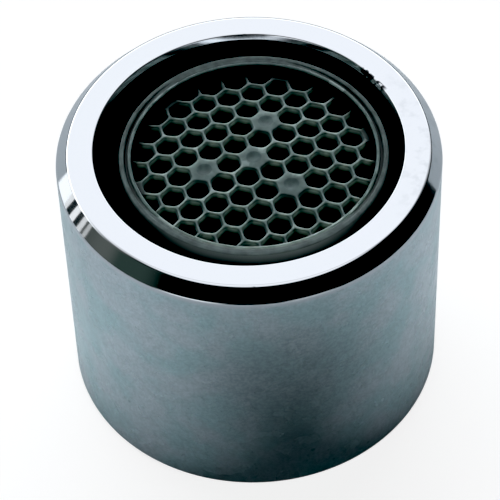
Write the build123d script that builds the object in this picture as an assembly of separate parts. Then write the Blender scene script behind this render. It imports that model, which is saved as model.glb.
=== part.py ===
from build123d import *
from math import cos, degrees, hypot, pi, radians, sin, sqrt
import os

# Screw-on tap aerator, standing on its inlet end with the outlet upwards.
# A turned and chrome-plated housing holds a plastic insert. Water comes in through the threaded end at the
# bottom and passes a strainer, a plate of fine jets, an air chamber, two mixing grids and the honeycomb that
# shows at the top. Air is drawn down the gap between the housing and the sleeve of the insert.
# All sizes are in millimetres and degrees. The housing's axis is Z, and Z is 0 at the face it stands on.

# Spout thread, M22 x 1 internal: the wall is at the thread's full diameter, its ridges stand inside that
thread_diameter = 22.0
thread_pitch = 1.0
thread_length = 8.4
thread_entry_bevel = 0.4
thread_relief_depth = 0.2

# Housing
housing_wall = 1.0
outlet_bevel_width = 0.75
outlet_bevel_height = 0.9
outlet_bevel_round = 0.3
outlet_chamfer_width = 0.17
outlet_chamfer_depth = 0.44
outlet_edge_round = 0.1
foot_bevel = 0.25
air_gap = 0.8

# Sealing washer
washer_thickness = 2.0
washer_width = 2.3
washer_play = 0.1

# How the insert sits in the housing: it lies loose on its ledge, a little to one side
insert_recess = 0.63
insert_offset = 0.3
fit_clearance = 0.03

# Sleeve of the insert
flange_thickness = 1.3
flange_play = 0.2
ledge_bearing = 0.71
sleeve_wall = 0.48
lip_wall = 0.18
lip_taper_height = 1.45
lip_round = 0.1
air_window_count = 5
air_window_angle = 44.0
air_window_margin = 0.25

# Groove between the sleeve's lip and the rim of the honeycomb
rim_groove_width = 0.33
rim_groove_depth = 0.3
retaining_step_height = 0.35
retaining_step_width = 0.45

# Honeycomb at the outlet
rim_wall = 0.2
rim_round = 0.12
rim_step = 0.06
face_recess = 0.42
face_crown = 0.45
honeycomb_depth = 2.6
cell_pitch = 1.6
cell_wall = 0.24
cell_turn = 15.0
cell_margin = 0.2
closed_cell_steps = 2
closed_cell_bearings = (60.0, 180.0, 300.0)
dimple_radius = 0.5
dimple_depth = 0.1
post_radius = 0.4

# Mixing grids
grid_height = 0.9
grid_rim_wall = 0.67
web_height = 0.6
web_width = 0.4
grid_hub_radius = 0.7
spoke_count = 12

# Jet plate
plate_thickness = 0.9
jet_flange_width = 0.93
jet_flange_thickness = 0.5
chamber_height = 1.7
leg_angle = 14.0
leg_setback = 0.1
jet_diameter = 0.9
jet_spacing = 1.9
jet_ring_count = 3
jet_edge_gap = 0.5

# Strainer in the inlet
strainer_seat_depth = 0.8
strainer_seat_wall = 0.67
strainer_rim_width = 0.65
strainer_rim_drop = 0.4
strainer_shell = 0.45
strainer_clearance = 0.3
strainer_bar = 0.5
strainer_ring_count = 5
strainer_windows_per_ring = 6

# Depth of an ISO thread, as a share of its pitch
THREAD_DEPTH = 0.5413
# Most of a wall's thickness that the rounding of one of its edges may take
ROUND_SHARE = 0.45
# How far a cutting tool runs past the face that it leaves
OVERRUN = 1.0

# Radii, from the thread inwards
thread_radius = thread_diameter / 2
thread_crest_radius = thread_radius - THREAD_DEPTH * thread_pitch
housing_radius = thread_radius + housing_wall
relief_radius = thread_radius + thread_relief_depth
washer_outer_radius = relief_radius - washer_play
washer_inner_radius = washer_outer_radius - washer_width
flange_radius = thread_crest_radius - flange_play
outlet_radius = flange_radius - ledge_bearing
sleeve_radius = outlet_radius - air_gap
sleeve_bore_radius = sleeve_radius - sleeve_wall
stack_radius = sleeve_bore_radius - fit_clearance
rim_radius = sleeve_bore_radius - retaining_step_width
mouth_radius = rim_radius - rim_wall
groove_radius = rim_radius + rim_groove_width
lip_radius = groove_radius + lip_wall
grid_inner_radius = stack_radius - grid_rim_wall
jet_flange_radius = sleeve_bore_radius + jet_flange_width
strainer_seat_radius = sleeve_bore_radius - strainer_seat_wall
strainer_radius = strainer_seat_radius - fit_clearance
dome_radius = strainer_radius - strainer_rim_width

# Heights, from the face it stands on upwards
washer_z = thread_length
inlet_z = washer_z + washer_thickness
ledge_z = inlet_z + flange_thickness
plate_z = inlet_z + strainer_seat_depth
chamber_z = plate_z + plate_thickness
first_grid_z = chamber_z + chamber_height
second_grid_z = first_grid_z + grid_height
honeycomb_z = second_grid_z + grid_height
face_z = honeycomb_z + honeycomb_depth
lip_z = face_z + face_recess
outlet_z = lip_z + insert_recess
groove_z = lip_z - rim_groove_depth
step_z = groove_z - retaining_step_height
strainer_rim_z = inlet_z - strainer_rim_drop
strainer_low_z = washer_z + strainer_clearance

# The closed cells stand on a circle that a ring of each mixing grid follows
post_ring_radius = closed_cell_steps * cell_pitch


def turned(points, rounds=()):
    """A solid turned about Z from (radius, height) points, with (point, radius) corners rounded first."""
    outline = make_face(Polyline(*points, close=True))
    for corner, radius in rounds:
        outline = rounded(outline, corner, radius)
    return revolve(Plane.XZ * outline, Axis.Z)


def rounded(outline, corner, radius):
    """The outline with the corner nearest that point rounded."""
    nearest = outline.vertices().sort_by_distance((*corner, 0))[0]
    return fillet(nearest, radius)


def on_circle(radius, angle):
    """The point at that radius and bearing."""
    return radius * cos(radians(angle)), radius * sin(radians(angle))


def ring(outer_radius, inner_radius):
    """A flat ring."""
    return Circle(outer_radius) - Circle(inner_radius)


def sector(outer_radius, inner_radius, angle, turn):
    """A piece of a flat ring, angle degrees wide, with its middle at that bearing."""
    start = on_circle(2 * outer_radius, turn - angle / 2)
    end = on_circle(2 * outer_radius, turn + angle / 2)
    return ring(outer_radius, inner_radius) & Polygon((0, 0), start, end, align=None)


def raised(flat_pieces, base_z, height):
    """Prisms of that height on the flat pieces, from base_z upwards."""
    faces = [face for piece in flat_pieces for face in piece.faces()]
    return extrude(Pos(0, 0, base_z) * Sketch(children=faces), height)


def crown_z(distance):
    """Height of the honeycomb's crowned face at a distance from its axis."""
    ball_radius = (mouth_radius**2 + face_crown**2) / (2 * face_crown)
    return face_z - ball_radius + sqrt(ball_radius**2 - distance**2)


def housing():
    """The turned outer shell: threaded inlet, ledge for the insert, and a bevelled outlet lip."""
    outlet_edge = (outlet_radius + outlet_chamfer_width, outlet_z)
    bevel_edge = (housing_radius - outlet_bevel_width, outlet_z)
    bevel_foot = (housing_radius, outlet_z - outlet_bevel_height)
    points = [
        (housing_radius - foot_bevel, 0),
        (housing_radius, foot_bevel),
        bevel_foot,
        bevel_edge,
        outlet_edge,
        (outlet_radius, outlet_z - outlet_chamfer_depth),
        (outlet_radius, ledge_z),
        (relief_radius, ledge_z),
        (relief_radius, thread_length),
        (thread_radius, thread_length),
        (thread_radius, thread_entry_bevel),
        (thread_radius + thread_entry_bevel, 0),
    ]
    rounds = [
        (outlet_edge, outlet_edge_round),
        (bevel_edge, outlet_bevel_round),
        (bevel_foot, outlet_bevel_round),
    ]
    return turned(points, rounds)


def sealing_washer():
    """The flat rubber ring between the spout and the insert."""
    return raised([ring(washer_outer_radius, washer_inner_radius)], washer_z, washer_thickness)


def insert_sleeve():
    """The tube that carries the insert, with its flange, air windows and thin lip."""
    lip_outer = (lip_radius, lip_z)
    lip_inner = (groove_radius, lip_z)
    counterbore_radius = jet_flange_radius + fit_clearance
    counterbore_z = inlet_z + jet_flange_thickness
    points = [
        (counterbore_radius, inlet_z),
        (flange_radius, inlet_z),
        (flange_radius, ledge_z),
        (sleeve_radius, ledge_z),
        (sleeve_radius, lip_z - lip_taper_height),
        lip_outer,
        lip_inner,
        (groove_radius, groove_z),
        (rim_radius + fit_clearance, groove_z),
        (rim_radius + fit_clearance, step_z),
        (sleeve_bore_radius, step_z),
        (sleeve_bore_radius, counterbore_z),
        (counterbore_radius, counterbore_z),
    ]
    edge_round = min(lip_round, ROUND_SHARE * lip_wall)
    tube = turned(points, [(lip_outer, edge_round), (lip_inner, edge_round)])
    windows = [
        sector(sleeve_radius + OVERRUN, sleeve_bore_radius - OVERRUN, air_window_angle, turn)
        for turn in window_turns()
    ]
    window_height = chamber_height - 2 * air_window_margin
    return tube - raised(windows, chamber_z + air_window_margin, window_height)


def window_turns():
    """Bearings of the air windows, which the jet plate's legs stand between."""
    return [360 * i / air_window_count for i in range(air_window_count)]


def cell_places():
    """Centres of the honeycomb cells that lie far enough inside the rim."""
    reach = int(mouth_radius / cell_pitch) + 1
    places = []
    for row in range(-reach - 1, reach + 2):
        for column in range(-2 * reach, 2 * reach + 1):
            place = (cell_pitch * (column + row / 2), cell_pitch * row * sqrt(3) / 2)
            if hypot(*place) <= mouth_radius - cell_margin:
                places.append(place)
    return places


def closed_places():
    """The centre cell and three cells round it, which are filled in and carry the posts."""
    return [(0, 0), *(on_circle(post_ring_radius, bearing) for bearing in closed_cell_bearings)]


def is_open(place):
    """True where a cell is none of the filled ones."""
    return all(hypot(place[0] - x, place[1] - y) > cell_pitch / 2 for x, y in closed_places())


def outlet_honeycomb():
    """The stream straightener: a crowned honeycomb in a rim, with posts on its inner side."""
    rim_inner = (mouth_radius, lip_z)
    rim_outer = (rim_radius, lip_z)
    face_edge = (mouth_radius, crown_z(mouth_radius))
    walls = Polyline(
        (0, face_z),
        (0, honeycomb_z),
        (stack_radius, honeycomb_z),
        (stack_radius, step_z),
        (rim_radius, step_z),
        rim_outer,
        rim_inner,
        face_edge,
    )
    crown = ThreePointArc(face_edge, (mouth_radius / 2, crown_z(mouth_radius / 2)), (0, face_z))
    outline = make_face([*walls.edges(), *crown.edges()])
    edge_round = min(rim_round, ROUND_SHARE * rim_wall)
    for corner in (rim_inner, rim_outer):
        outline = rounded(outline, corner, edge_round)
    body = revolve(Plane.XZ * outline, Axis.Z)

    cell = RegularPolygon((cell_pitch - cell_wall) / 2, 6, major_radius=False, rotation=30)
    limit = Circle(mouth_radius - rim_step)
    cells = [Pos(*place) * cell & limit for place in cell_places() if is_open(place)]
    body -= raised(cells, honeycomb_z - OVERRUN, honeycomb_depth + 2 * OVERRUN)

    ball_radius = (dimple_radius**2 + dimple_depth**2) / (2 * dimple_depth)
    post_length = grid_height - web_height
    for x, y in closed_places():
        body -= Pos(x, y, crown_z(hypot(x, y)) + ball_radius - dimple_depth) * Sphere(ball_radius)
        body += raised([Pos(x, y) * Circle(post_radius)], honeycomb_z - post_length, post_length)
    return Rot(0, 0, cell_turn) * body


def mixing_grid(base_z, turn):
    """One of the two grids that break up the jets: a rim with two rings and a star of spokes."""
    outer_ring_radius = (post_ring_radius + grid_inner_radius) / 2
    webs = Circle(grid_hub_radius)
    for radius in (post_ring_radius, outer_ring_radius):
        webs += ring(radius + web_width / 2, radius - web_width / 2)
    spoke_length = grid_inner_radius + grid_rim_wall / 2
    spoke = Pos(spoke_length / 2, 0) * Rectangle(spoke_length, web_width)
    for i in range(spoke_count):
        webs += Rot(0, 0, 360 * i / spoke_count) * spoke
    rim = raised([ring(stack_radius, grid_inner_radius)], 0, grid_height)
    return Pos(0, 0, base_z) * Rot(0, 0, turn) * (rim + raised([webs], 0, web_height))


def jet_places():
    """Centres of the jets, on rings that are one spacing apart."""
    outer_radius = dome_radius - jet_edge_gap - jet_diameter / 2
    places = []
    for i in range(jet_ring_count):
        radius = outer_radius - i * jet_spacing
        count = round(2 * pi * radius / jet_spacing)
        places.extend(on_circle(radius, 360 * j / count) for j in range(count))
    return places


def jet_plate():
    """The plate of fine jets, with a flange, a seat for the strainer and legs that hold the grids."""
    flange_z = inlet_z + jet_flange_thickness
    plate = turned(
        [
            (0, plate_z),
            (strainer_seat_radius, plate_z),
            (strainer_seat_radius, inlet_z),
            (jet_flange_radius, inlet_z),
            (jet_flange_radius, flange_z),
            (stack_radius, flange_z),
            (stack_radius, chamber_z),
            (0, chamber_z),
        ]
    )
    jets = [Pos(*place) * Circle(jet_diameter / 2) for place in jet_places()]
    plate -= raised(jets, plate_z - OVERRUN, plate_thickness + 2 * OVERRUN)
    between = 180 / air_window_count
    legs = [
        sector(stack_radius - leg_setback, grid_inner_radius, leg_angle, turn + between)
        for turn in window_turns()
    ]
    return plate + raised(legs, chamber_z, chamber_height)


def strainer_windows():
    """The openings of the strainer, as pieces of rings."""
    ring_step = dome_radius / (strainer_ring_count + 0.5)
    windows = []
    for i in range(1, strainer_ring_count + 1):
        radius = ring_step * i
        half_width = (ring_step - strainer_bar) / 2
        count = strainer_windows_per_ring * i
        angle = 360 / count - degrees(strainer_bar / radius)
        for j in range(count):
            windows.append(sector(radius + half_width, radius - half_width, angle, 360 * j / count))
    return windows


def strainer():
    """The domed strainer that is pressed into the jet plate on the inlet side."""
    rise = strainer_rim_z - strainer_low_z
    ball_radius = (dome_radius**2 + rise**2) / (2 * rise)
    ball_centre = Pos(0, 0, strainer_low_z + ball_radius)
    height = plate_z - strainer_low_z
    rim = raised([ring(strainer_radius, dome_radius)], strainer_rim_z, plate_z - strainer_rim_z)
    shell = ball_centre * (Sphere(ball_radius) - Sphere(ball_radius - strainer_shell))
    shell_limit = Circle(dome_radius + strainer_rim_width / 2)
    shell &= raised([shell_limit], strainer_low_z - OVERRUN, height + OVERRUN)
    return rim + (shell - raised(strainer_windows(), strainer_low_z - OVERRUN, height + 2 * OVERRUN))


def main():
    """Builds every piece, sets the insert where it lies in the housing and writes the files."""
    insert = {
        "insert_sleeve": insert_sleeve(),
        "outlet_honeycomb": outlet_honeycomb(),
        "second_mixing_grid": mixing_grid(second_grid_z, 180 / spoke_count),
        "first_mixing_grid": mixing_grid(first_grid_z, 0),
        "jet_plate": jet_plate(),
        "strainer": strainer(),
    }
    pieces = {"housing": housing(), "sealing_washer": sealing_washer()}
    for name, piece in insert.items():
        pieces[name] = Pos(insert_offset, 0, 0) * piece
    os.makedirs("parts", exist_ok=True)
    for name, piece in pieces.items():
        export_step(piece, f"parts/{name}.step")


main()
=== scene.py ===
"""Tap aerator: a chromed housing with a plastic honeycomb insert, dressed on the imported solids.

Sizes in the classes are in millimetres and degrees. The meshes are in metres, as the frame is.
"""

from __future__ import annotations

import logging
from abc import ABC, abstractmethod
from collections.abc import Callable, Iterable
from dataclasses import dataclass, field
from enum import Enum
from itertools import accumulate
from math import cos, dist, exp, hypot, pi, radians, sin, sqrt, tan
from typing import ClassVar

import bpy
from mathutils import Matrix, Vector
from mathutils.geometry import delaunay_2d_cdt


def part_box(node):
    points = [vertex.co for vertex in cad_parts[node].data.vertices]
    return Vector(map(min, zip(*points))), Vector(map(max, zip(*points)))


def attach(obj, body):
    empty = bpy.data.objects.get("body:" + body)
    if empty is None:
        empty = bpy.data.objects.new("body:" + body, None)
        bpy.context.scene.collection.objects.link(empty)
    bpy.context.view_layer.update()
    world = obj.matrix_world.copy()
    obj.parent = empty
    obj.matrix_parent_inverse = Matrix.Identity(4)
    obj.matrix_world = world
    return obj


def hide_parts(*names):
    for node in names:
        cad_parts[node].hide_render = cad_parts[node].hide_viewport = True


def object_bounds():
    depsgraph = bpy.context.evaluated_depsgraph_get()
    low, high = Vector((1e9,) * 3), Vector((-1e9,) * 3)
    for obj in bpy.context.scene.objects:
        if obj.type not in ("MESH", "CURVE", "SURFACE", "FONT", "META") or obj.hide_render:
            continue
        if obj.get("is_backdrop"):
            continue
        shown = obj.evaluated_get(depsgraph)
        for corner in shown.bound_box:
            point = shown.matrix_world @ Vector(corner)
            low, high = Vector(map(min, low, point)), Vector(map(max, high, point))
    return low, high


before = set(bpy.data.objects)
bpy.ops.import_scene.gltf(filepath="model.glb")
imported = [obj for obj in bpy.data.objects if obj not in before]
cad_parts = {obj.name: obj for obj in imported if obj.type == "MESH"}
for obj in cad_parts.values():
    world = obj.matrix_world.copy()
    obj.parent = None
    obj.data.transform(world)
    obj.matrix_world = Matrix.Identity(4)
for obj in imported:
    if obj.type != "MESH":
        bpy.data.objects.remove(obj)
CAD_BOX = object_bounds()

MM = 0.001
RIGHT = (1.0, 0.0, 0.0)
BACK = (0.0, 1.0, 0.0)
UP = (0.0, 0.0, 1.0)
ROOT_BODY = "root"
ZENITH = 90.0
NEARLY_STRAIGHT = 176.0
LONGEST_SETBACK = 0.45
SUPPORT_MARGIN = 0.03
SMOOTHING_STEP = 0.02
SMOOTHING_REACH = 0.05
ON_WALL = 0.01
INSIDE_ONLY = 1
MERGE_DISTANCE = 1e-6

log = logging.getLogger("tap_aerator")

Point = tuple[float, float]
Span = tuple[float, float]
Triple = tuple[float, float, float]
Colour = tuple[float, float, float]
Ring = tuple[list[Point], list[float]]
Reshape = Callable[[float, float, float], Point]
Material = bpy.types.Material
Socket = bpy.types.NodeSocket
Source = Socket | float | Triple | Vector


class Node(Enum):
    """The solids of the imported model."""

    HOUSING = "housing"
    WASHER = "sealing_washer"
    SLEEVE = "insert_sleeve"
    HONEYCOMB = "outlet_honeycomb"
    SECOND_GRID = "second_mixing_grid"
    FIRST_GRID = "first_mixing_grid"
    JET_PLATE = "jet_plate"
    STRAINER = "strainer"


class Slot(Enum):
    """The material slots of the record."""

    CHROME = "chrome_plate"
    RUBBER = "black_rubber"
    DARK_PLASTIC = "dark_plastic"
    PALE_PLASTIC = "pale_plastic"


class Sum(Enum):
    """The sums that nodes work out."""

    ABSOLUTE = "ABSOLUTE"
    ADD = "ADD"
    DIVIDE = "DIVIDE"
    LESS_THAN = "LESS_THAN"
    MAXIMUM = "MAXIMUM"
    MULTIPLY = "MULTIPLY"
    SQRT = "SQRT"
    SUBTRACT = "SUBTRACT"


class Coordinates(Enum):
    """The coordinates that patterns follow: the piece's own, or directions in the sky."""

    PIECE = "Object"
    SKY = "Generated"


class LightKind(Enum):
    """The kinds of lights."""

    FAR = "SUN"
    PANEL = "AREA"


@dataclass(frozen=True)
class Envelope:
    """Where a round solid of the frame lies, in millimetres."""

    axis_x: float
    radius: float
    low: float
    high: float

    @classmethod
    def of(cls, node: Node) -> Envelope:
        """Measures a solid in the frame.

        Args:
            node: The solid.

        Returns:
            Its axis, radius and heights.
        """
        low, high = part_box(node.value)
        return cls(
            axis_x=(low.x + high.x) / 2 / MM,
            radius=(high.x - low.x) / 2 / MM,
            low=low.z / MM,
            high=high.z / MM,
        )


@dataclass(frozen=True)
class SkyPatch:
    """A soft-edged patch of light: bearings go left from straight behind the object."""

    light: Colour
    bearing: float
    half_width: float
    side_softness: float
    low: float
    high: float
    softness: float


@dataclass(frozen=True)
class LightPanel:
    """An upright light at the left: where it starts and ends towards the back, and how bright it is."""

    start: float
    end: float
    light: float


@dataclass(frozen=True)
class Pattern:
    """A random pattern: patches in a metre, finer layers, the values that count and what they give."""

    scale: float
    detail: float = 2.0
    low: float = 0.3
    high: float = 0.7
    start: float = 0.0
    end: float = 1.0


@dataclass(frozen=True)
class Specks:
    """Small spots: places in a metre, radius in its room, share of places with one, and soft edge."""

    scale: float
    size: float
    share: float
    edge: float = 0.4


@dataclass(frozen=True)
class Corner:
    """A corner of a turned outline, and the radius that its edge is rounded to."""

    radius: float
    height: float
    rounding: float = 0.05


def clamped(share: float) -> float:
    """The share, held between 0 and 1."""
    return max(0.0, min(1.0, share))


def off_bearing(angle: float, bearing: float) -> float:
    """How far an angle in radians lies from a bearing in degrees, the short way round in radians."""
    return (angle - radians(bearing) + pi) % (2 * pi) - pi


def between(start: Point, end: Point, share: float) -> Point:
    """The point at that share of the way from start to end."""
    return start[0] + (end[0] - start[0]) * share, start[1] + (end[1] - start[1]) * share


def on_circle(radius: float, bearing: float) -> Point:
    """The point at that radius and bearing in degrees."""
    return radius * cos(radians(bearing)), radius * sin(radians(bearing))


def circle(place: Point, radius: float, count: int) -> list[Point]:
    """Points on a circle, anticlockwise."""
    spokes = [on_circle(radius, 360 * i / count) for i in range(count)]
    return [(place[0] + x, place[1] + y) for x, y in spokes]


def kept_inside(point: Point, radius: float) -> Point:
    """The point, drawn in to a circle round the axis where it lies outside."""
    share = min(1.0, radius / max(radius, hypot(*point)))
    return point[0] * share, point[1] * share


def closed_runs(outline: list[Point]) -> list[tuple[Point, Point]]:
    """The start and end of each run of a closed outline."""
    return list(zip(outline, outline[1:] + outline[:1]))


def rounded_corner(before: Corner, corner: Corner, after: Corner, steps: int) -> list[Point]:
    """Rounds one corner of an outline.

    Args:
        before: The corner in front of it.
        corner: The corner.
        after: The corner behind it.
        steps: Number of straight runs that the rounding is made of.

    Returns:
        The points that take the corner's place.
    """
    here = Vector((corner.radius, corner.height))
    back = Vector((before.radius, before.height)) - here
    ahead = Vector((after.radius, after.height)) - here
    turn = back.angle(ahead, pi)
    if corner.rounding <= 0 or turn > radians(NEARLY_STRAIGHT):
        return [(corner.radius, corner.height)]
    longest = LONGEST_SETBACK * min(back.length, ahead.length)
    setback = min(corner.rounding / tan(turn / 2), longest)
    radius = setback * tan(turn / 2)
    middle = (back.normalized() + ahead.normalized()).normalized()
    centre = here + middle * (radius / sin(turn / 2))
    first = here + back.normalized() * setback - centre
    last = here + ahead.normalized() * setback - centre
    shares = [step / steps for step in range(steps + 1)]
    return [tuple(centre + first.slerp(last, share) * radius) for share in shares]


def rounded_outline(corners: list[Corner], steps: int = 6) -> list[Point]:
    """Turns corners into an outline with rounded edges.

    Args:
        corners: The corners, anticlockwise with the axis on the left.
        steps: Number of straight runs in each rounding.

    Returns:
        The outline's points.
    """
    outline: list[Point] = []
    for index, corner in enumerate(corners):
        after = corners[(index + 1) % len(corners)]
        outline += rounded_corner(corners[index - 1], corner, after, steps)
    return outline


def supported(outline: list[Point], closed: bool = True) -> list[Point]:
    """Adds points close to the ends of the long runs, so that the shading of a flat face stays flat.

    Args:
        outline: The outline.
        closed: Whether its last point joins its first.

    Returns:
        The outline with the added points.
    """
    points: list[Point] = []
    for start, end in closed_runs(outline):
        points.append(start)
        length = dist(start, end)
        if length > 6 * SUPPORT_MARGIN:
            margin = SUPPORT_MARGIN / length
            points += [between(start, end, margin), between(start, end, 1 - margin)]
    return points if closed else points[: points.index(outline[-1]) + 1]


def divided(outline: list[Point], spacing: float) -> list[Point]:
    """Divides the runs of a closed outline into short ones.

    Args:
        outline: The outline.
        spacing: About how long the short runs are.

    Returns:
        The divided outline.
    """
    points: list[Point] = []
    for start, end in closed_runs(outline):
        count = max(1, round(dist(start, end) / spacing))
        points += [between(start, end, i / count) for i in range(count)]
    return points


def softened(outline: list[Point], radius: float, count: int) -> list[Point]:
    """Rounds the corners of a convex outline, and spaces its points evenly.

    Args:
        outline: The outline, anticlockwise.
        radius: Radius of its corners.
        count: Number of points that it gets.

    Returns:
        The softened outline.
    """
    dense = [Vector(point) for point in divided(outline, SMOOTHING_STEP)]
    for _ in range(round((radius / SMOOTHING_REACH) ** 2)):
        trios = zip(dense[-1:] + dense[:-1], dense, dense[1:] + dense[:1])
        dense = [(a + 2 * b + c) / 4 for a, b, c in trios]
    return [tuple(dense[round(i * len(dense) / count) % len(dense)]) for i in range(count)]


def widened(outline: list[Point], distance: float) -> list[Point]:
    """Moves an outline outwards.

    Args:
        outline: The outline, anticlockwise.
        distance: How far it moves.

    Returns:
        The wider outline.
    """
    wider = []
    for before, here, after in zip(outline[-1:] + outline[:-1], outline, outline[1:] + outline[:1]):
        along = Vector((after[0] - before[0], after[1] - before[1])).normalized()
        wider.append((here[0] + along.y * distance, here[1] - along.x * distance))
    return wider


@dataclass
class MeshDraft:
    """The points and faces of a piece while it is being made, in millimetres."""

    points: list[Triple] = field(default_factory=list)
    faces: list[tuple[int, ...]] = field(default_factory=list)

    def add_loop(self, outline: list[Point], heights: list[float]) -> list[int]:
        """Adds a closed line of points.

        Args:
            outline: Where the points lie, seen from above.
            heights: How high each of them lies.

        Returns:
            The numbers of the points.
        """
        start = len(self.points)
        self.points += [(x, y, z) for (x, y), z in zip(outline, heights)]
        return list(range(start, len(self.points)))

    def add_tube(self, rings: Iterable[Ring]) -> list[list[int]]:
        """Adds closed lines of points, each joined to the next.

        Args:
            rings: The outline and the heights of each line.

        Returns:
            The numbers of the points, line by line.
        """
        rows = [self.add_loop(outline, heights) for outline, heights in rings]
        self.bridge_all(rows, closed=False)
        return rows

    def turn(
        self,
        outline: list[Point],
        segments: int,
        axis_x: float = 0.0,
        reshape: Reshape | None = None,
    ) -> list[list[int]]:
        """Adds the points of an outline turned about an upright axis.

        Args:
            outline: Radius and height of each row of points.
            segments: Number of points in a row.
            axis_x: Where the axis stands.
            reshape: Gives the radius and height at a radius, height and angle, where they differ.

        Returns:
            The numbers of the points, row by row.
        """
        angles = [2 * pi * column / segments for column in range(segments)]
        rows = []
        for radius, height in outline:
            places = [reshape(radius, height, a) if reshape else (radius, height) for a in angles]
            ring = [(axis_x + r * cos(a), r * sin(a)) for (r, _), a in zip(places, angles)]
            rows.append(self.add_loop(ring, [h for _, h in places]))
        return rows

    def bridge(self, first: list[int], second: list[int], skipped: Iterable[int] = ()) -> None:
        """Joins two rows of points all the way round.

        Args:
            first: The first row.
            second: The next row, with as many points.
            skipped: Columns that stay open.
        """
        count = len(first)
        for column in set(range(count)).difference(skipped):
            after = (column + 1) % count
            self.faces.append((first[column], first[after], second[after], second[column]))

    def bridge_all(self, rows: list[list[int]], closed: bool = True) -> None:
        """Joins every row to the next one.

        Args:
            rows: The rows.
            closed: Whether the last row joins the first.
        """
        following = rows[1:] + rows[:1] if closed else rows[1:]
        for first, second in zip(rows, following):
            self.bridge(first, second)

    def fill(self, outer: list[int], holes: list[list[int]], upward: bool) -> None:
        """Closes the level area inside a line of points, round its holes.

        Args:
            outer: The line round the area.
            holes: The lines round its holes.
            upward: Whether the faces look up.
        """
        loops = [outer, *holes]
        order = [point for loop in loops for point in loop]
        level = [Vector(self.points[point][:2]) for point in order]
        ends = accumulate(len(loop) for loop in loops)
        areas = [list(range(end - len(loop), end)) for loop, end in zip(loops, ends)]
        filled = delaunay_2d_cdt(level, [], areas, INSIDE_ONLY, MERGE_DISTANCE, True)
        _, _, triangles, sources, _, owners = filled
        for triangle, owner in zip(triangles, owners):
            if list(owner) == [0]:
                corners = tuple(order[sources[corner][0]] for corner in triangle)
                self.faces.append(corners if upward else corners[::-1])

    def to_piece(self, name: str, crease: float = 38.0) -> bpy.types.Object:
        """Makes the piece, without the points that no face uses.

        Args:
            name: Its name.
            crease: The angle from which an edge is drawn sharp.

        Returns:
            The piece, in the scene.
        """
        used = sorted({point for face in self.faces for point in face})
        number = {point: index for index, point in enumerate(used)}
        points = [Vector(self.points[point]) * MM for point in used]
        faces = [[number[point] for point in face] for face in self.faces]
        mesh = bpy.data.meshes.new(name)
        mesh.from_pydata(points, [], faces)
        mesh.validate()
        mesh.shade_smooth()
        mesh.set_sharp_from_angle(angle=radians(crease))
        piece = bpy.data.objects.new(name, mesh)
        bpy.context.scene.collection.objects.link(piece)
        return piece


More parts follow.
